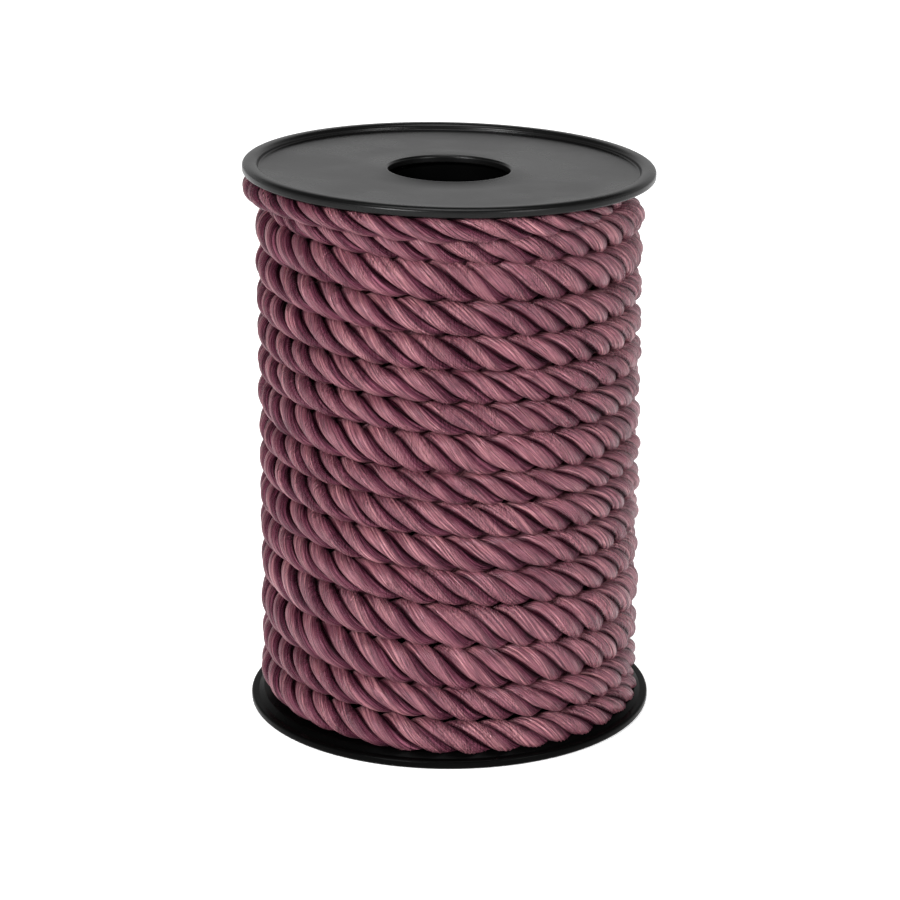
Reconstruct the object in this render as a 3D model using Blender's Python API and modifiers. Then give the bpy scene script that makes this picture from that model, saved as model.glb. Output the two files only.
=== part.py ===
"""Twisted cord trim wound on a plain black spool that stands on its lower flange.

Metres, +Z up along the spool's axis, origin at the middle of the underside.
The front of the winding faces -Y, and azimuths run to the right from there.
"""
import math

import bmesh
import bpy
from mathutils import Matrix, Vector

MM = 0.001

# Spool
OVERALL_HEIGHT = 104.6 * MM
FLANGE_RADIUS = 38.0 * MM
FLANGE_THICKNESS = 2.5 * MM
RIM_THICKNESS = 1.8 * MM
RIM_WIDTH = 1.4 * MM
DISH_WIDTH = 1.0 * MM
RECESS_DEPTH = 1.2 * MM
LIP_WIDTH = 2.9 * MM
BORE_RADIUS = 11.2 * MM
BARREL_WALL = 2.0 * MM
FIT_GAP = 0.3 * MM
TOP_TILT_SIDEWAYS = math.radians(1.25)
TOP_TILT_FORWARD = math.radians(0.8)

# Edge roundings of a flange
BORE_EDGE = 0.5 * MM
RECESS_EDGE = 0.3 * MM
LIP_INNER_EDGE = 0.8 * MM
RIM_OUTER_EDGE = 0.9 * MM
RIM_INNER_EDGE = 0.5 * MM
ARC_STEPS = 3
TURNED_STEPS = 64

# Wound cord: crest and valley radii of a turn, and its main twist
CREST_RADIUS = 35.8 * MM
VALLEY_RADIUS = 34.0 * MM
GROOVE_DEPTH = 0.9 * MM
COLUMNS_PER_TURN = 75
COLUMNS_PER_PLY = 2
LAY_COLUMNS = 3
STEPS_ACROSS = 4
ROW_LEAN = 0.7 * MM

# Height of the valley above each turn at the front, the last ones outside the flanges
VALLEY_HEIGHTS_MM = (
    111.7, 105.3, 99.1, 94.7, 87.2, 80.9, 74.6, 68.6, 62.8, 55.4,
    49.9, 43.5, 37.1, 30.5, 22.5, 14.4, 8.2, 1.7, -4.8, -11.3,
)

# Where a turn stands proud or lies sunk: turn, azimuth, half width in degrees, shift in mm
RADIAL_SHIFTS = (
    {"turn": 1, "azimuth": -85, "half_width": 45, "shift": 1.9},
    {"turn": 1, "azimuth": -35, "half_width": 60, "shift": 2.0},
    {"turn": 1, "azimuth": 5, "half_width": 40, "shift": 1.1},
    {"turn": 1, "azimuth": 100, "half_width": 70, "shift": -3.0},
    {"turn": 2, "azimuth": -120, "half_width": 65, "shift": -3.4},
    {"turn": 13, "azimuth": 45, "half_width": 60, "shift": 0.7},
)

# Where a valley lies off its even slope, with the same columns
HEIGHT_SHIFTS = (
    {"turn": 2, "azimuth": 75, "half_width": 60, "shift": 3.2},
    {"turn": 3, "azimuth": -65, "half_width": 40, "shift": 0.8},
)

BLACK_PLASTIC = (0.012, 0.012, 0.013, 1.0)
MAUVE_SATIN = (0.250, 0.085, 0.125, 1.0)


def clear_scene():
    for item in list(bpy.data.objects):
        bpy.data.objects.remove(item, do_unlink=True)


def make_collection(name):
    group = bpy.data.collections.new(name)
    bpy.context.scene.collection.children.link(group)
    return group


def make_material(name, colour, roughness):
    material = bpy.data.materials.new(name)
    material.use_nodes = True
    shader = material.node_tree.nodes["Principled BSDF"]
    shader.inputs["Base Color"].default_value = colour
    shader.inputs["Roughness"].default_value = roughness
    return material


def rounded_profile(corners):
    """Points of a closed profile whose corners (radius, height, rounding) are arcs."""
    points = []
    count = len(corners)
    for index, (radius, height, rounding) in enumerate(corners):
        corner = Vector((radius, height))
        if rounding == 0:
            points.append(corner)
            continue
        before = Vector(corners[index - 1][:2])
        after = Vector(corners[(index + 1) % count][:2])
        start = corner + (before - corner).normalized() * rounding
        end = corner + (after - corner).normalized() * rounding
        centre = start + end - corner
        for step in range(ARC_STEPS + 1):
            turn = 0.5 * math.pi * step / ARC_STEPS
            along = (start - centre) * math.cos(turn) + (end - centre) * math.sin(turn)
            points.append(centre + along)
    return points


def turned_object(name, corners, group, material):
    """A closed profile turned round the Z axis, given down its outer side."""
    points = rounded_profile(corners)
    count = len(points)
    mesh = bpy.data.meshes.new(name)
    edges = [(index, (index + 1) % count) for index in range(count)]
    mesh.from_pydata([(point.x, 0.0, point.y) for point in points], edges, [])
    item = bpy.data.objects.new(name, mesh)
    group.objects.link(item)
    screw = item.modifiers.new("turned", "SCREW")
    screw.axis = "Z"
    screw.angle = 2.0 * math.pi
    screw.steps = TURNED_STEPS
    screw.render_steps = TURNED_STEPS
    screw.use_merge_vertices = True
    screw.merge_threshold = 0.01 * MM
    screw.use_smooth_shade = True
    item.data.materials.append(material)
    return item


def flange_corners():
    """Profile of a flange whose lipped side is up, at height 0."""
    lip_inner = FLANGE_RADIUS - LIP_WIDTH
    return [
        (BORE_RADIUS, -RECESS_DEPTH, BORE_EDGE),
        (lip_inner, -RECESS_DEPTH, RECESS_EDGE),
        (lip_inner, 0.0, LIP_INNER_EDGE),
        (FLANGE_RADIUS, 0.0, RIM_OUTER_EDGE),
        (FLANGE_RADIUS, -RIM_THICKNESS, RIM_INNER_EDGE),
        (FLANGE_RADIUS - RIM_WIDTH, -RIM_THICKNESS, 0.0),
        (FLANGE_RADIUS - RIM_WIDTH - DISH_WIDTH, -FLANGE_THICKNESS, 0.0),
        (BORE_RADIUS, -FLANGE_THICKNESS, 0.0),
    ]


def top_flange_pose():
    """Seat of the upper flange, which sits a little askew."""
    lift = Matrix.Translation((0.0, 0.0, OVERALL_HEIGHT))
    sideways = Matrix.Rotation(TOP_TILT_SIDEWAYS, 4, "Y")
    forward = Matrix.Rotation(-TOP_TILT_FORWARD, 4, "X")
    return lift @ sideways @ forward


def place(item, matrix):
    item.matrix_world = matrix


def bump(offset, half_width):
    """Smooth hill of height 1 that ends at the half width."""
    share = abs(offset) / half_width
    if share >= 1.0:
        return 0.0
    return math.cos(0.5 * math.pi * share) ** 2


def shift_at(table, turns):
    """Sum of the table's hills at a place counted in turns from the first valley."""
    total = 0.0
    for row in table:
        centre = row["turn"] + row["azimuth"] / 360.0
        total += row["shift"] * MM * bump((turns - centre) * 360.0, row["half_width"])
    return total


def valley_height(turns):
    """Height of the valley above the cord, at a place counted in turns."""
    last = len(VALLEY_HEIGHTS_MM) - 2
    index = min(max(int(math.floor(turns)), 0), last)
    share = turns - index
    upper = VALLEY_HEIGHTS_MM[index]
    lower = VALLEY_HEIGHTS_MM[index + 1]
    even = (upper + (lower - upper) * share) * MM
    lean = ROW_LEAN * math.sin(2.0 * math.pi * turns)
    return even - lean + shift_at(HEIGHT_SHIFTS, turns)


def cord_point(column, across):
    """A point of the wound surface: column along the cord, step across the turn."""
    turns = (column + LAY_COLUMNS * across / STEPS_ACROSS) / COLUMNS_PER_TURN
    share = across / STEPS_ACROSS
    upper = valley_height(turns)
    lower = valley_height(turns + 1.0)
    height = upper + (lower - upper) * share
    roundness = math.sqrt(1.0 - (2.0 * share - 1.0) ** 2)
    radius = VALLEY_RADIUS + (CREST_RADIUS - VALLEY_RADIUS) * roundness
    if column % COLUMNS_PER_PLY == 0:
        radius -= GROOVE_DEPTH * roundness
    own = shift_at(RADIAL_SHIFTS, turns)
    neighbour = shift_at(RADIAL_SHIFTS, turns - 1.0)
    radius += own * (0.35 + 0.65 * roundness) if across else 0.5 * (own + neighbour)
    angle = 2.0 * math.pi * turns
    return (radius * math.sin(angle), -radius * math.cos(angle), height)


def winding_mesh(name):
    """Closed body of all the turns, reaching past both flanges."""
    turn_count = len(VALLEY_HEIGHTS_MM) - 2
    columns = COLUMNS_PER_TURN * turn_count
    next_row = COLUMNS_PER_TURN + LAY_COLUMNS
    shape = bmesh.new()
    lattice = {}
    for column in range(columns + next_row + 1):
        steps = STEPS_ACROSS if column < columns else 1
        for across in range(steps):
            lattice[column, across] = shape.verts.new(cord_point(column, across))

    def vertex(column, across):
        if across == STEPS_ACROSS:
            return lattice[column + next_row, 0]
        return lattice[column, across]

    for column in range(columns - 1):
        for across in range(STEPS_ACROSS):
            shape.faces.new((
                vertex(column, across),
                vertex(column, across + 1),
                vertex(column + 1, across + 1),
                vertex(column + 1, across),
            ))
    shape.verts.ensure_lookup_table()
    loose = [vert for vert in shape.verts if not vert.link_faces]
    bmesh.ops.delete(shape, geom=loose, context="VERTS")
    open_edges = [edge for edge in shape.edges if edge.is_boundary]
    bmesh.ops.holes_fill(shape, edges=open_edges, sides=0)
    bmesh.ops.recalc_face_normals(shape, faces=shape.faces)
    mesh = bpy.data.meshes.new(name)
    shape.to_mesh(mesh)
    shape.free()
    return mesh


def build_wound_cord(group, cutters, material):
    """The wound form, kept between the flanges and round the barrel."""
    inner = BORE_RADIUS + BARREL_WALL + FIT_GAP
    outer = FLANGE_RADIUS + LIP_WIDTH
    disc_gap = FLANGE_THICKNESS + FIT_GAP
    space = turned_object("winding_space", [
        (inner, OVERALL_HEIGHT - disc_gap, 0.0),
        (outer, OVERALL_HEIGHT - disc_gap, 0.0),
        (outer, disc_gap, 0.0),
        (inner, disc_gap, 0.0),
    ], cutters, material)
    space.hide_render = True
    space.display_type = "WIRE"
    apply_turned(space)
    seat = top_flange_pose()
    for vertex in space.data.vertices:
        if vertex.co.z > 0.5 * OVERALL_HEIGHT:
            seated = seat @ Vector((vertex.co.x, vertex.co.y, vertex.co.z - OVERALL_HEIGHT))
            vertex.co.z = seated.z
    item = bpy.data.objects.new("wound_cord", winding_mesh("wound_cord"))
    group.objects.link(item)
    item.data.materials.append(material)
    for face in item.data.polygons:
        face.use_smooth = True
    keep = item.modifiers.new("between_flanges", "BOOLEAN")
    keep.operation = "INTERSECT"
    keep.solver = "EXACT"
    keep.object = space
    return item


def apply_turned(item):
    """Keep the turned shape itself as the object's mesh."""
    bpy.context.view_layer.update()
    graph = bpy.context.evaluated_depsgraph_get()
    mesh = bpy.data.meshes.new_from_object(item.evaluated_get(graph))
    item.modifiers.clear()
    item.data = mesh


def build_spool(group, plastic):
    """Barrel and the two flanges."""
    tilt = math.hypot(TOP_TILT_SIDEWAYS, TOP_TILT_FORWARD)
    barrel_radius = BORE_RADIUS + BARREL_WALL
    barrel_bottom = FLANGE_THICKNESS + FIT_GAP
    askew = barrel_radius * math.sin(tilt)
    barrel_top = OVERALL_HEIGHT - FLANGE_THICKNESS - FIT_GAP - askew
    turned_object("barrel", [
        (BORE_RADIUS, barrel_top, 0.0),
        (barrel_radius, barrel_top, 0.0),
        (barrel_radius, barrel_bottom, 0.0),
        (BORE_RADIUS, barrel_bottom, 0.0),
    ], group, plastic["barrel"])
    upper = turned_object("flange_top", flange_corners(), group, plastic["flange_top"])
    place(upper, top_flange_pose())
    lower = turned_object("flange_bottom", flange_corners(), group, plastic["flange_bottom"])
    place(lower, Matrix.Rotation(math.pi, 4, "X"))


def main():
    clear_scene()
    parts = make_collection("twisted_cord_spool")
    cutters = make_collection("cutters")
    plastic = {
        name: make_material(name + "_plastic", BLACK_PLASTIC, 0.35)
        for name in ("barrel", "flange_top", "flange_bottom")
    }
    satin = make_material("wound_cord_satin", MAUVE_SATIN, 0.5)
    build_spool(parts, plastic)
    build_wound_cord(parts, cutters, satin)


main()
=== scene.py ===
import math

import bmesh
import bpy
import numpy as np
from mathutils import Matrix, Vector


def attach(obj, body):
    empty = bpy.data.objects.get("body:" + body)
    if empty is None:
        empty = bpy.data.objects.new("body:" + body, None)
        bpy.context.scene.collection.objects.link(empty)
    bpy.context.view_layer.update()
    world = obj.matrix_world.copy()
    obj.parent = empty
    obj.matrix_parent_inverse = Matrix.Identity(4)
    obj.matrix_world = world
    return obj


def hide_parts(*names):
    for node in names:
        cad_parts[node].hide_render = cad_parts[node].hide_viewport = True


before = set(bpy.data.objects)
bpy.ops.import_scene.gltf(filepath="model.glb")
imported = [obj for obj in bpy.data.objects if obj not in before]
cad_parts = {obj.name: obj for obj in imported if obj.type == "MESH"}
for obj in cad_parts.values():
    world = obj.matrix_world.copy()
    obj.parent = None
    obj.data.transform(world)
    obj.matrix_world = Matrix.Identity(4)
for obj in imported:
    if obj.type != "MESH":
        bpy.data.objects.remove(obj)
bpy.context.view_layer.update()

MM = 0.001

# Spool, with the same sizes as its solids
OVERALL_HEIGHT = 104.6 * MM
FLANGE_RADIUS = 38.0 * MM
FLANGE_THICKNESS = 2.5 * MM
RIM_THICKNESS = 1.8 * MM
RIM_WIDTH = 1.4 * MM
DISH_WIDTH = 1.0 * MM
RECESS_DEPTH = 1.2 * MM
LIP_WIDTH = 2.9 * MM
BORE_RADIUS = 11.2 * MM
TOP_TILT_SIDEWAYS = math.radians(1.25)
TOP_TILT_FORWARD = math.radians(0.8)

# Finer edges of the flanges
BORE_RING_WIDTH = 0.7 * MM
BORE_RING_RISE = 0.12 * MM
BORE_RING_SLOPE = 0.5 * MM
BORE_ROUND = 0.5 * MM
BORE_BEVEL = 0.2 * MM
LIP_RISE = 0.9 * MM
LIP_FOOT_ROUND = 0.3 * MM
LIP_STEPS = 24
LIP_FULLNESS = 0.85
UNDERSIDE_ROUND = 0.45 * MM
FACE_RINGS = (0.25, 0.5, 0.75)
TURNED_SEGMENTS = 224
SHARP_EDGE = math.radians(32.0)

# Cord in mm: three plies twisted together
CORD_RADIUS = 3.15
PLY_OFFSET = 1.44
PLY_RADIUS = 1.76
PLY_COUNT = 3
LAYS_PER_TURN = 11.6
STEPS_PER_TURN = 300
CREST_RADIUS = 35.8
ROW_LEAN = 0.7
ROW_OVERLAP = 0.10
CONTACT_GAP = 0.05

# Angles round a ply, in degrees from its outward side, closer on the side that shows
PLY_ANGLES = (
    -113, -101, -88, -75, -61, -47, -34, -22, -11, 0,
    13, 27, 41, 56, 71, 86, 101, 113, 180,
)

# The furrow along a ply between its two bundles of yarns, depth as a share of the ply
FURROW_ANGLE = math.radians(-8.0)
FURROW_DRIFT = math.radians(14.0)
FURROW_WIDTH = math.radians(11.0)
FURROW_DEPTH = 0.18
FURROW_SHARE = 0.25

# Unevenness along the cord: waves in a turn, strength and the seed's own step
UNEVENNESS = {
    "lay": {"waves": (0.7, 2.3, 5.1), "strength": 0.30, "step": 0},
    "ply_lay": {"waves": (6.0, 13.0, 21.0), "strength": 0.10, "step": 10},
    "ply_size": {"waves": (4.0, 9.0, 17.0, 29.0), "strength": 0.045, "step": 20},
    "ply_offset": {"waves": (5.0, 11.0, 19.0), "strength": 0.07, "step": 30},
    "furrow": {"waves": (3.0, 7.0, 12.0), "strength": 0.55, "step": 40},
    "furrow_angle": {"waves": (2.0, 6.0), "strength": FURROW_DRIFT, "step": 60},
}
OUTER_SEED = 7
UNDER_SEED = 50

# The next layer in, in mm and turns
UNDER_CREST = 31.6
UNDER_PITCH = 6.2
UNDER_TURNS = 14.6
UNDER_TOP_GAP = 6.0
UNDER_STEPS_PER_TURN = 150
UNDER_ANGLES = (-90, -45, 0, 45, 90, 180)

# Height in mm of the valley above each turn at the front
VALLEY_HEIGHTS = (
    111.7, 105.3, 99.1, 94.7, 87.2, 80.9, 74.6, 68.6, 62.8, 55.4,
    49.9, 43.5, 37.1, 30.5, 22.5, 14.4, 8.2, 1.7, -4.8, -11.3,
)

# Uneven first turns: place in turns, then middle height, half height and crest radius in mm
FIRST_TURNS = (
    {"turns": 0.56, "height": 99.2, "half": 2.2, "crest": 31.0},
    {"turns": 0.66, "height": 99.9, "half": 2.2, "crest": 34.0},
    {"turns": 0.735, "height": 100.7, "half": 2.3, "crest": 37.6},
    {"turns": 0.78, "height": 101.1, "half": 2.3, "crest": 38.2},
    {"turns": 0.835, "height": 101.6, "half": 2.2, "crest": 38.3},
    {"turns": 0.89, "height": 101.5, "half": 2.2, "crest": 38.4},
    {"turns": 0.945, "height": 101.2, "half": 2.3, "crest": 38.4},
    {"turns": 1.0, "height": 100.9, "half": 2.4, "crest": 38.4},
    {"turns": 1.055, "height": 100.8, "half": 2.3, "crest": 38.2},
    {"turns": 1.10, "height": 100.7, "half": 2.0, "crest": 37.6},
    {"turns": 1.14, "height": 100.6, "half": 1.7, "crest": 36.3},
    {"turns": 1.18, "height": 100.4, "half": 1.8, "crest": 34.0},
    {"turns": 1.25, "height": 99.4, "half": 2.2, "crest": 32.2},
    {"turns": 1.50, "height": 99.4, "half": 2.7, "crest": 35.3},
    {"turns": 1.65, "height": 99.0, "half": 2.7, "crest": 34.8},
    {"turns": 1.73, "height": 98.1, "half": 2.7, "crest": 33.6},
    {"turns": 1.80, "height": 97.7, "half": 2.7, "crest": 33.7},
    {"turns": 1.86, "height": 98.2, "half": 2.7, "crest": 35.0},
    {"turns": 1.94, "height": 97.5, "half": 2.8, "crest": 35.7},
    {"turns": 2.06, "height": 96.5, "half": 3.0, "crest": 35.9},
    {"turns": 2.17, "height": 95.9, "half": 3.2, "crest": 35.9},
    {"turns": 2.30, "height": 95.0, "half": 3.2, "crest": 35.8},
)
EVENING_TURNS = 0.10
LAST_TURN = 16.92

# Where a turn stands proud or sunk: place in turns, half width in turns, shift in mm
CREST_SHIFTS = (
    {"turns": 13.12, "half_width": 0.17, "shift": 0.7},
    {"turns": 15.90, "half_width": 0.22, "shift": 0.5},
    {"turns": 16.06, "half_width": 0.25, "shift": 0.8},
    {"turns": 16.95, "half_width": 0.38, "shift": -6.0},
)


def smooth_hill(offset, half_width):
    share = np.clip(np.abs(offset) / half_width, 0.0, 1.0)
    return np.cos(0.5 * np.pi * share) ** 2


def valley_height(turns):
    index = np.arange(len(VALLEY_HEIGHTS))
    even = np.interp(turns, index, VALLEY_HEIGHTS)
    return even - ROW_LEAN * np.sin(2.0 * np.pi * turns)


def ease_table(places, turns, values):
    """Values of a table with soft steps from row to row."""
    slopes = np.gradient(values, turns)
    index = np.clip(np.searchsorted(turns, places) - 1, 0, len(turns) - 2)
    span = turns[index + 1] - turns[index]
    share = np.clip((places - turns[index]) / span, 0.0, 1.0)
    rise = values[index] * (1 + 2 * share) * (1 - share) ** 2
    rise += values[index + 1] * share ** 2 * (3 - 2 * share)
    rise += slopes[index] * span * share * (1 - share) ** 2
    rise -= slopes[index + 1] * span * share ** 2 * (1 - share)
    return rise


def cord_path(turns):
    """Height of the middle, half height and crest radius of the cord, in mm."""
    upper = valley_height(turns)
    lower = valley_height(turns + 1.0)
    height = 0.5 * (upper + lower)
    half = 0.5 * (upper - lower)
    crest = np.full_like(turns, CREST_RADIUS)
    places = np.array([row["turns"] for row in FIRST_TURNS])
    first = turns < places[-1]
    for name, values in (("height", height), ("half", half), ("crest", crest)):
        column = np.array([row[name] for row in FIRST_TURNS])
        eased = ease_table(turns, places, column)
        past = (turns - (places[-1] - EVENING_TURNS)) / EVENING_TURNS
        blend = np.clip(past, 0.0, 1.0)
        values[first] = (eased + (values - eased) * blend)[first]
    for row in CREST_SHIFTS:
        crest += row["shift"] * smooth_hill(turns - row["turns"], row["half_width"])
    return height, half, crest


def wobble(turns, name, seed):
    """Smooth unevenness along the cord, made of sines with seeded phases."""
    row = UNEVENNESS[name]
    random = np.random.default_rng(seed + row["step"])
    total = np.zeros_like(turns)
    for wave in row["waves"]:
        phase = random.uniform(0.0, 2.0 * np.pi)
        rate = wave * random.uniform(0.85, 1.15)
        total += np.sin(2.0 * np.pi * rate * turns + phase)
    return row["strength"] * total / math.sqrt(len(row["waves"]))


def rim_bottom_height(x, y):
    """Height in mm of the underside of the upper flange's rim above a place."""
    base = OVERALL_HEIGHT / MM - RIM_THICKNESS / MM
    return base - x * math.sin(TOP_TILT_SIDEWAYS) - y * math.sin(TOP_TILT_FORWARD)


def keep_off_flanges(x, y, z):
    """Points in mm pushed out of both flanges, the shorter way."""
    radius = np.hypot(x, y)
    rim = FLANGE_RADIUS / MM - RIM_WIDTH / MM
    dish = (FLANGE_THICKNESS - RIM_THICKNESS) / MM
    hang = dish * np.clip((rim - radius) / (DISH_WIDTH / MM), 0.0, 1.0)
    outside = FLANGE_RADIUS / MM + CONTACT_GAP
    top = rim_bottom_height(x, y) - hang - CONTACT_GAP
    inside_top = (z > top) & (radius < outside)
    sideways = inside_top & (outside - radius < z - top) & (radius > rim)
    floor = RIM_THICKNESS / MM + hang + CONTACT_GAP
    inside_low = (z < floor) & (radius < outside)
    sideways_low = inside_low & (outside - radius < floor - z) & (radius > rim)
    z = np.where(inside_top & ~sideways, top, z)
    z = np.where(inside_low & ~sideways_low, floor, z)
    grow = np.where(sideways | sideways_low, outside / radius, 1.0)
    return x * grow, y * grow, z


def tube_mesh(name, points, along, around):
    """Closed tube from a grid of rings of points in mm, with cord measures as UVs."""
    rings, sides = points.shape[:2]
    vertices = points.reshape(-1, 3) * MM
    index = np.arange(rings * sides).reshape(rings, sides)
    here = index[:-1]
    there = index[1:]
    quads = np.stack([here, np.roll(here, -1, 1), np.roll(there, -1, 1), there], -1)
    quads = quads.reshape(-1, 4)
    mesh = bpy.data.meshes.new(name)
    first_cap = index[0][::-1].tolist()
    last_cap = index[-1].tolist()
    mesh.from_pydata(vertices.tolist(), [], quads.tolist() + [first_cap, last_cap])
    layer = mesh.uv_layers.new(name="cord")
    u = np.repeat(along[:, None], sides + 1, 1)
    v = np.repeat(np.append(around, around[0] + 1.0)[None, :], rings, 0)
    corner_u = np.stack([u[:-1, :-1], u[:-1, 1:], u[1:, 1:], u[1:, :-1]], -1)
    corner_v = np.stack([v[:-1, :-1], v[:-1, 1:], v[1:, 1:], v[1:, :-1]], -1)
    wall = np.stack([corner_u, corner_v], -1).reshape(-1, 2)
    caps = np.zeros((2 * sides, 2))
    layer.data.foreach_set("uv", np.concatenate([wall, caps]).ravel())
    mesh.polygons.foreach_set("use_smooth", np.ones(len(mesh.polygons), bool))
    mesh.update()
    return mesh


def link_piece(name, mesh, material):
    mesh.materials.append(material)
    item = bpy.data.objects.new(name, mesh)
    bpy.context.scene.collection.objects.link(item)
    return item


def ply_points(turns, number, path, angles, seed):
    """Rings of points in mm of one ply round the cord's middle line."""
    height, half, crest = path
    own_seed = seed + number
    phase = 2.0 * np.pi * number / PLY_COUNT - 2.0 * np.pi * LAYS_PER_TURN * turns
    phase = phase + wobble(turns, "lay", seed)
    phase = phase + wobble(turns, "ply_lay", own_seed)
    fat = 1.0 + wobble(turns, "ply_size", own_seed)
    reach = PLY_OFFSET + wobble(turns, "ply_offset", own_seed)
    angle = np.radians(np.array(angles, float))[None, :]
    furrow = np.clip(wobble(turns, "furrow", own_seed) + FURROW_SHARE, 0.0, 1.0)
    furrow_angle = FURROW_ANGLE + wobble(turns, "furrow_angle", own_seed)[:, None]
    hollow = np.exp(-((angle - furrow_angle) / FURROW_WIDTH) ** 2)
    own = PLY_RADIUS * (fat[:, None] - FURROW_DEPTH * furrow[:, None] * hollow)
    turned = phase[:, None] + angle
    outward = reach[:, None] * np.cos(phase)[:, None] + own * np.cos(turned)
    upward = reach[:, None] * np.sin(phase)[:, None] + own * np.sin(turned)
    radius = (crest - CORD_RADIUS)[:, None] + outward
    level = height[:, None] + upward * ((half + ROW_OVERLAP) / CORD_RADIUS)[:, None]
    azimuth = 2.0 * np.pi * turns[:, None]
    x = radius * np.sin(azimuth)
    y = -radius * np.cos(azimuth)
    x, y, z = keep_off_flanges(x, y, level)
    return np.stack([x, y, z], -1)


def layer_below():
    """The next layer in, wound the other way, seen only through gaps and hollows."""
    turns = np.linspace(0.0, UNDER_TURNS, int(UNDER_TURNS * UNDER_STEPS_PER_TURN))
    height = OVERALL_HEIGHT / MM - UNDER_TOP_GAP - UNDER_PITCH * turns
    half = np.full_like(turns, 0.5 * UNDER_PITCH)
    crest = np.full_like(turns, UNDER_CREST)
    path = (height, half, crest)
    around = np.array(UNDER_ANGLES) / 360.0
    shape = bmesh.new()
    for number in range(PLY_COUNT):
        points = ply_points(turns, number, path, UNDER_ANGLES, UNDER_SEED)
        points[..., 0] *= -1.0
        grid = tube_mesh("layer", points[:, ::-1], turns, around[::-1])
        shape.from_mesh(grid)
        bpy.data.meshes.remove(grid)
    mesh = bpy.data.meshes.new("cord_layer_below")
    shape.to_mesh(mesh)
    shape.free()
    mesh.polygons.foreach_set("use_smooth", np.ones(len(mesh.polygons), bool))
    return mesh


def build_winding(satin):
    """The plies of the outer layer, one piece each, and a coarser layer below them."""
    pieces = []
    start = FIRST_TURNS[0]["turns"]
    count = int((LAST_TURN - start) * STEPS_PER_TURN)
    turns = np.linspace(start, LAST_TURN, count)
    path = cord_path(turns)
    around = np.array(PLY_ANGLES) / 360.0
    for number in range(PLY_COUNT):
        points = ply_points(turns, number, path, PLY_ANGLES, OUTER_SEED)
        name = f"cord_ply_{number + 1}"
        pieces.append(link_piece(name, tube_mesh(name, points, turns, around), satin))
    pieces.append(link_piece("cord_layer_below", layer_below(), satin))
    return pieces


def arc(centre, radius, start, end, steps):
    angles = np.radians(np.linspace(start, end, steps + 1))
    return [(centre[0] + radius * math.cos(a), centre[1] + radius * math.sin(a)) for a in angles]


def flange_profile():
    """Section of a flange with its lip up, at height 0, as (radius, height) in metres."""
    recess = -RECESS_DEPTH
    lip_inner = FLANGE_RADIUS - LIP_WIDTH
    ring_outer = BORE_RADIUS + BORE_RING_WIDTH
    bore_centre = (BORE_RADIUS + BORE_ROUND, recess + BORE_RING_RISE - BORE_ROUND)
    foot_centre = (lip_inner - LIP_FOOT_ROUND, recess + LIP_FOOT_ROUND)
    under_centre = (FLANGE_RADIUS - UNDERSIDE_ROUND, -RIM_THICKNESS + UNDERSIDE_ROUND)

    # Face, from the bore's edge out to the foot of the lip
    profile = arc(bore_centre, BORE_ROUND, 180, 90, steps=8)
    profile.append((ring_outer, recess + 0.9 * BORE_RING_RISE))
    profile.append((ring_outer + BORE_RING_SLOPE, recess))
    for share in FACE_RINGS:
        profile.append((ring_outer + (lip_inner - ring_outer) * share, recess))
    profile += arc(foot_centre, LIP_FOOT_ROUND, -90, 0, steps=4)

    # Rounded lip
    crown = 0.5 * (lip_inner + FLANGE_RADIUS)
    for step in range(LIP_STEPS + 1):
        turn = math.pi * (1.0 - step / LIP_STEPS)
        across = abs(math.cos(turn)) ** LIP_FULLNESS
        rise = math.sin(turn) ** LIP_FULLNESS
        side = math.copysign(across, math.cos(turn))
        profile.append((crown + 0.5 * LIP_WIDTH * side, LIP_RISE * (rise - 1.0)))

    # Underside, from the rim in to the bore
    profile += arc(under_centre, UNDERSIDE_ROUND, 0, -90, steps=6)
    profile += [
        (FLANGE_RADIUS - RIM_WIDTH, -RIM_THICKNESS),
        (FLANGE_RADIUS - RIM_WIDTH - DISH_WIDTH, -FLANGE_THICKNESS),
        (BORE_RADIUS + BORE_BEVEL, -FLANGE_THICKNESS),
        (BORE_RADIUS, -FLANGE_THICKNESS + BORE_BEVEL),
    ]
    return profile


def turned_mesh(name, profile):
    """Closed profile turned round the Z axis."""
    points = np.array(profile)
    angles = np.linspace(0.0, 2.0 * np.pi, TURNED_SEGMENTS, endpoint=False)
    x = points[None, :, 0] * np.cos(angles)[:, None]
    y = points[None, :, 0] * np.sin(angles)[:, None]
    z = np.repeat(points[None, :, 1], TURNED_SEGMENTS, 0)
    vertices = np.stack([x, y, z], -1).reshape(-1, 3)
    index = np.arange(TURNED_SEGMENTS * len(points)).reshape(TURNED_SEGMENTS, len(points))
    along = np.roll(index, -1, 0)
    faces = np.stack([index, np.roll(index, -1, 1), np.roll(along, -1, 1), along], -1)
    mesh = bpy.data.meshes.new(name)
    mesh.from_pydata(vertices.tolist(), [], faces.reshape(-1, 4).tolist())
    shape = bmesh.new()
    shape.from_mesh(mesh)
    bmesh.ops.recalc_face_normals(shape, faces=shape.faces)
    shape.to_mesh(mesh)
    shape.free()
    mesh.shade_smooth()
    mesh.set_sharp_from_angle(angle=SHARP_EDGE)
    return mesh


def upper_seat():
    lift = Matrix.Translation((0.0, 0.0, OVERALL_HEIGHT))
    sideways = Matrix.Rotation(TOP_TILT_SIDEWAYS, 4, "Y")
    forward = Matrix.Rotation(-TOP_TILT_FORWARD, 4, "X")
    return lift @ sideways @ forward


def build_flanges(upper_plastic, lower_plastic):
    pieces = {}
    for name, seat, plastic in (
        ("flange_top", upper_seat(), upper_plastic),
        ("flange_bottom", Matrix.Rotation(math.pi, 4, "X"), lower_plastic),
    ):
        mesh = turned_mesh(name + "_disc", flange_profile())
        mesh.transform(seat)
        pieces[name] = link_piece(name + "_disc", mesh, plastic)
    return pieces


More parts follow.
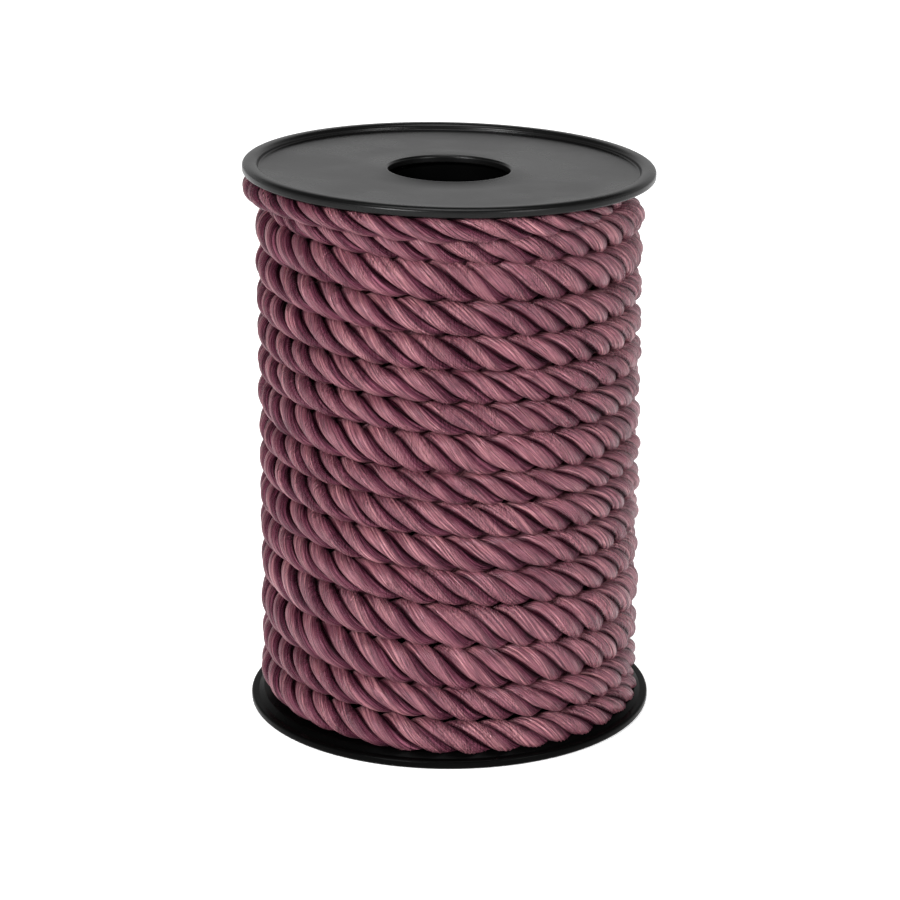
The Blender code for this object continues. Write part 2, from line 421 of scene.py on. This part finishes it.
def fill_ramp(ramp, stops):
    """Colour ramp with stops given as (position, colour)."""
    for element, stop in ((ramp.elements[0], stops[0]), (ramp.elements[1], stops[-1])):
        element.position = stop[0]
        element.color = (*stop[1], 1.0)
    for position, colour in stops[1:-1]:
        element = ramp.elements.new(position)
        element.color = (*colour, 1.0)


class Nodes:
    """A small helper to wire a material's nodes."""

    def __init__(self, name):
        self.material = bpy.data.materials.new(name)
        self.material.use_nodes = True
        self.tree = self.material.node_tree
        self.shader = self.tree.nodes["Principled BSDF"]

    def add(self, kind, **values):
        node = self.tree.nodes.new(kind)
        for key, value in values.items():
            setattr(node, key, value)
        return node

    def wire(self, source, target):
        self.tree.links.new(source, target)

    def maths(self, operation, first, second=None, third=None):
        node = self.add("ShaderNodeMath", operation=operation)
        for slot, value in enumerate((first, second, third)):
            if value is None:
                continue
            if isinstance(value, (int, float)):
                node.inputs[slot].default_value = value
            else:
                self.wire(value, node.inputs[slot])
        return node.outputs[0]

    def remap(self, value, low, high, to_low=0.0, to_high=1.0):
        node = self.add("ShaderNodeMapRange", interpolation_type="SMOOTHSTEP")
        self.wire(value, node.inputs["Value"])
        node.inputs["From Min"].default_value = low
        node.inputs["From Max"].default_value = high
        node.inputs["To Min"].default_value = to_low
        node.inputs["To Max"].default_value = to_high
        return node.outputs["Result"]

    def noise(self, vector, scale, detail, roughness=0.5):
        node = self.add("ShaderNodeTexNoise")
        node.inputs["Scale"].default_value = scale
        node.inputs["Detail"].default_value = detail
        node.inputs["Roughness"].default_value = roughness
        self.wire(vector, node.inputs["Vector"])
        return node.outputs["Fac"]

    def ramp(self, value, stops):
        node = self.add("ShaderNodeValToRGB")
        fill_ramp(node.color_ramp, stops)
        self.wire(value, node.inputs["Fac"])
        return node.outputs["Color"]

    def combine(self, x, y):
        node = self.add("ShaderNodeCombineXYZ")
        self.wire(x, node.inputs[0])
        self.wire(y, node.inputs[1])
        return node.outputs[0]

    def stretch(self, along, around, along_scale, around_scale):
        """Place for a noise that runs at its own rate along and round the ply."""
        first = self.maths("MULTIPLY", along, along_scale)
        return self.combine(first, self.maths("MULTIPLY", around, around_scale))

    def mix(self, blend_type, factor, first, colour):
        node = self.add("ShaderNodeMix", data_type="RGBA", blend_type=blend_type)
        self.wire(factor, node.inputs["Factor"])
        self.wire(first, node.inputs["A"])
        node.inputs["B"].default_value = (*colour, 1.0)
        return node.outputs["Result"]

    def bump(self, height, distance, after=None):
        node = self.add("ShaderNodeBump")
        node.inputs["Distance"].default_value = distance
        self.wire(height, node.inputs["Height"])
        if after is not None:
            self.wire(after, node.inputs["Normal"])
        return node.outputs["Normal"]


# Satin colours, from the dark between the yarns to their crests: the yarns' own tone with
# painted shade between them and painted highlight on the crests
YARN_COLOURS_AND_SHADE = (
    (0.37, (0.040, 0.006, 0.017)),
    (0.50, (0.178, 0.051, 0.073)),
    (0.63, (0.425, 0.186, 0.200)),
)
# Painted shade for the upper flank and the seams, and a painted highlight colour for the pale
# lower edge
PAINTED_FLANK_SHADE_TINT = (0.36, 0.23, 0.38)
PAINTED_SEAM_SHADE_TINT = (0.10, 0.04, 0.08)
PAINTED_EDGE_HIGHLIGHT_COLOUR = (0.42, 0.19, 0.22)

# Zones round a ply for the painted shade and the painted edge highlight, in turns from its
# outward side
PAINTED_FLANK_SHADE_ZONE = (0.01, 0.20)
FLANK_SHADE = 0.86
PAINTED_SEAM_SHADE_ZONE = (0.215, 0.280)
EDGE_PLACE = 0.215
EDGE_WIDTH = 0.016
PAINTED_EDGE_HIGHLIGHT_STRENGTH = 0.65

# How far a yarn turns round its ply in one turn of the spool, and how much it drifts
YARN_TWIST = 2.2
YARN_DRIFT = 0.05

# Bump heights
YARN_BUMP = 0.38 * MM
EDGE_BUMP = 0.15 * MM
FINE_BUMP = 0.07 * MM
WRINKLE_BUMP = 0.34 * MM
GRAIN_BUMP = 0.015 * MM


def satin_material():
    """Mauve rayon yarns that lie along each ply, with dark seams between the plies: painted
    shade in the seams and on each ply's upper flank, and a painted highlight along its lower
    edge.
    """
    made = Nodes("mauve_satin_cord")
    uv = made.add("ShaderNodeUVMap", uv_map="cord")
    split = made.add("ShaderNodeSeparateXYZ")
    made.wire(uv.outputs["UV"], split.inputs[0])
    along = split.outputs["X"]
    around = split.outputs["Y"]
    place = made.add("ShaderNodeTexCoord").outputs["Object"]

    # Yarns: fine lines that run along the ply and drift slowly round it
    wander = made.noise(made.combine(along, around), scale=34.0, detail=1.0)
    twisted = made.maths("ADD", around, made.maths("MULTIPLY", wander, YARN_DRIFT))
    twisted = made.maths("MULTIPLY_ADD", along, YARN_TWIST, twisted)
    yarn_place = made.stretch(along, twisted, 9.0, 26.0)
    yarns = made.noise(yarn_place, scale=1.0, detail=2.0, roughness=0.6)
    fine_place = made.stretch(along, twisted, 24.0, 90.0)
    fine = made.noise(fine_place, scale=1.0, detail=2.0, roughness=0.6)

    # Crosswise wrinkles in patches
    patch = made.remap(made.noise(place, scale=105.0, detail=1.0), 0.49, 0.60)
    wrinkle_place = made.stretch(along, around, 520.0, 4.0)
    ripple = made.remap(made.noise(wrinkle_place, scale=1.0, detail=1.0), 0.36, 0.64)
    wrinkles = made.maths("MULTIPLY", ripple, patch)

    # Painted shade on the ply's upper flank and in the dark seams, and the pale lower edge, a
    # painted highlight over a small ridge
    signed = made.maths("WRAP", around, 0.5, -0.5)
    painted_flank_shade = made.remap(signed, *PAINTED_FLANK_SHADE_ZONE, to_high=FLANK_SHADE)
    painted_seam_shade = made.remap(made.maths("ABSOLUTE", signed), *PAINTED_SEAM_SHADE_ZONE)
    off_edge = made.maths("DIVIDE", made.maths("ADD", signed, EDGE_PLACE), EDGE_WIDTH)
    falloff = made.maths("MULTIPLY", made.maths("MULTIPLY", off_edge, off_edge), -1.0)
    broken = made.remap(made.noise(place, scale=130.0, detail=2.0), 0.42, 0.60)
    edge_ridge_and_highlight = made.maths("MULTIPLY", made.maths("POWER", math.e, falloff), broken)

    # Colour
    cloud = made.noise(place, scale=160.0, detail=2.0)
    # The yarns' own tone, darkened between them as painted shade and lightened on their crests
    # as painted highlight
    shade = made.maths("MULTIPLY_ADD", yarns, 0.55, made.maths("MULTIPLY", fine, 0.30))
    shade = made.maths("ADD", shade, made.maths("MULTIPLY", cloud, 0.15))
    colour = made.ramp(shade, YARN_COLOURS_AND_SHADE)
    # Painted shade on the upper flank and in the seams, then the painted highlight along the
    # lower edge
    colour = made.mix("MULTIPLY", painted_flank_shade, colour, PAINTED_FLANK_SHADE_TINT)
    colour = made.mix("MULTIPLY", painted_seam_shade, colour, PAINTED_SEAM_SHADE_TINT)
    painted_edge_highlight = made.maths("MULTIPLY", edge_ridge_and_highlight, PAINTED_EDGE_HIGHLIGHT_STRENGTH)
    colour = made.mix("MIX", painted_edge_highlight, colour, PAINTED_EDGE_HIGHLIGHT_COLOUR)
    made.wire(colour, made.shader.inputs["Base Color"])

    # Shine along the yarns, less of it where shade is painted in the seams and on the flank
    rough = made.remap(yarns, 0.3, 0.7, to_low=0.46, to_high=0.30)
    made.wire(rough, made.shader.inputs["Roughness"])
    off_painted_flank_shade = made.maths("SUBTRACT", 1.0, painted_flank_shade)
    off_painted_seam_shade = made.maths("SUBTRACT", 1.0, painted_seam_shade)
    open_side = made.maths("MULTIPLY", off_painted_flank_shade, off_painted_seam_shade)
    shine = made.maths("MULTIPLY_ADD", open_side, 0.72, 0.03)
    made.wire(shine, made.shader.inputs["Specular IOR Level"])
    made.shader.inputs["Specular Tint"].default_value = (1.0, 0.72, 0.80, 1.0)
    made.shader.inputs["Anisotropic"].default_value = 0.55
    made.shader.inputs["Anisotropic Rotation"].default_value = 0.25
    tangent = made.add("ShaderNodeTangent", direction_type="UV_MAP", uv_map="cord")
    made.wire(tangent.outputs["Tangent"], made.shader.inputs["Tangent"])
    made.shader.inputs["Sheen Weight"].default_value = 0.02
    made.shader.inputs["Sheen Roughness"].default_value = 0.35
    made.shader.inputs["Sheen Tint"].default_value = (0.85, 0.62, 0.68, 1.0)

    # Relief
    coarse = made.bump(made.remap(yarns, 0.34, 0.66), YARN_BUMP)
    edged = made.bump(edge_ridge_and_highlight, EDGE_BUMP, after=coarse)
    finer = made.bump(made.remap(fine, 0.34, 0.66), FINE_BUMP, after=edged)
    crossed = made.bump(wrinkles, WRINKLE_BUMP, after=finer)
    made.wire(crossed, made.shader.inputs["Normal"])
    return made.material


def plastic_material(name, index_of_refraction, tone):
    """Black moulded plastic with a faint grain and slight rub marks."""
    made = Nodes(name)
    place = made.add("ShaderNodeTexCoord").outputs["Object"]
    cloud = made.noise(place, scale=60.0, detail=3.0)
    grain = made.noise(place, scale=2600.0, detail=2.0)
    rubbed = made.noise(place, scale=90.0, detail=3.0)
    colour = made.ramp(cloud, ((0.3, (0.9 * tone,) * 3), (0.7, (1.1 * tone,) * 3)))
    made.wire(colour, made.shader.inputs["Base Color"])
    rough = made.remap(rubbed, 0.35, 0.65, to_low=0.27, to_high=0.30)
    made.wire(rough, made.shader.inputs["Roughness"])
    made.shader.inputs["IOR"].default_value = index_of_refraction
    made.wire(made.bump(grain, GRAIN_BUMP), made.shader.inputs["Normal"])
    return made.material


# Floor: half its side in metres, its two tones, and its glow outside the spool's foot
FLOOR_REACH = 6.0
FLOOR_TONES = ((0.3, (0.88, 0.88, 0.88)), (0.7, (0.90, 0.90, 0.90)))
FLOOR_GLOW = 0.60
GLOW_EDGE = (30.0 * MM, 37.0 * MM)


def floor_material():
    made = Nodes("pale_floor")
    place = made.add("ShaderNodeTexCoord").outputs["Object"]
    colour = made.ramp(made.noise(place, scale=3.0, detail=2.0), FLOOR_TONES)
    made.wire(colour, made.shader.inputs["Base Color"])
    made.shader.inputs["Roughness"].default_value = 0.9
    made.shader.inputs["Specular IOR Level"].default_value = 0.0
    reach = made.add("ShaderNodeVectorMath", operation="LENGTH")
    made.wire(place, reach.inputs[0])
    glow = made.remap(reach.outputs["Value"], *GLOW_EDGE, to_high=FLOOR_GLOW)
    made.shader.inputs["Emission Color"].default_value = (1.0, 1.0, 1.0, 1.0)
    made.wire(glow, made.shader.inputs["Emission Strength"])
    return made.material


def build_floor():
    shape = bmesh.new()
    bmesh.ops.create_grid(shape, x_segments=8, y_segments=8, size=FLOOR_REACH)
    mesh = bpy.data.meshes.new("floor")
    shape.to_mesh(mesh)
    shape.free()
    item = link_piece("floor", mesh, floor_material())


# Brightness of the surroundings by height, as the upward part of the direction
SKY_STOPS = (
    (0.0, (0.58, 0.58, 0.58)),
    (0.24, (0.84, 0.84, 0.84)),
    (0.34, (0.84, 0.84, 0.84)),
    (0.55, (0.03, 0.03, 0.03)),
)


def build_world():
    """A pale horizon that darkens overhead."""
    world = bpy.data.worlds.new("studio")
    bpy.context.scene.world = world
    world.use_nodes = True
    tree = world.node_tree
    background = tree.nodes["Background"]
    place = tree.nodes.new("ShaderNodeTexCoord")
    split = tree.nodes.new("ShaderNodeSeparateXYZ")
    ramp = tree.nodes.new("ShaderNodeValToRGB")
    fill_ramp(ramp.color_ramp, SKY_STOPS)
    tree.links.new(place.outputs["Generated"], split.inputs[0])
    tree.links.new(split.outputs["Z"], ramp.inputs["Fac"])
    tree.links.new(ramp.outputs["Color"], background.inputs["Color"])
    background.inputs["Strength"].default_value = 1.0


# Soft round lights: place and size in metres, power in watts
LIGHTS = (
    {"name": "front_left", "at": (-0.55, -0.95, 0.55), "size": 0.45, "power": 15.0},
    {"name": "front_right", "at": (0.75, -0.80, 0.40), "size": 0.45, "power": 6.0},
    {"name": "overhead", "at": (0.0, -0.1, 1.5), "size": 1.0, "power": 14.0},
)
LIGHTS_AIM = Vector((0.0, 0.0, 0.05))


def build_lights():
    for row in LIGHTS:
        data = bpy.data.lights.new(row["name"], "AREA")
        data.shape = "DISK"
        data.size = row["size"]
        data.energy = row["power"]
        item = bpy.data.objects.new(row["name"], data)
        item.location = row["at"]
        aim = LIGHTS_AIM - item.location
        item.rotation_euler = aim.to_track_quat("-Z", "Y").to_euler()
        bpy.context.scene.collection.objects.link(item)


# Camera: place in metres, downward pitch in degrees, lens and sensor in mm
CAMERA_PLACE = (0.00012, -0.600, 0.2425)
CAMERA_PITCH = 17.86
CAMERA_LENS = 133.84
CAMERA_SENSOR = 36.0


def build_camera():
    data = bpy.data.cameras.new("camera")
    data.lens = CAMERA_LENS
    data.sensor_width = CAMERA_SENSOR
    data.clip_start = 0.01
    data.clip_end = 50.0
    item = bpy.data.objects.new("camera", data)
    item.location = CAMERA_PLACE
    item.rotation_euler = (math.radians(90.0 - CAMERA_PITCH), 0.0, 0.0)
    bpy.context.scene.collection.objects.link(item)
    bpy.context.scene.camera = item


def main():
    scene = bpy.context.scene
    scene.view_settings.view_transform = "Standard"
    scene.view_settings.look = "None"
    satin = satin_material()
    # One plastic for both flanges: the upper copy has a stronger reflection and a lighter tone
    # as painted highlight, the lower a weaker reflection and darker tone as painted shade
    upper_plastic = plastic_material("black_plastic_lit_copy", 1.24, tone=0.003)
    lower_plastic = plastic_material("black_plastic_shaded_copy", 1.09, tone=0.001)
    for piece in build_winding(satin):
        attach(piece, "root")
        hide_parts("wound_cord")
    for node, piece in build_flanges(upper_plastic, lower_plastic).items():
        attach(piece, "root")
        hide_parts(node)
    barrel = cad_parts["barrel"]
    barrel.data.materials.clear()
    barrel.data.materials.append(lower_plastic)
    build_floor()
    build_world()
    build_lights()
    build_camera()


main()
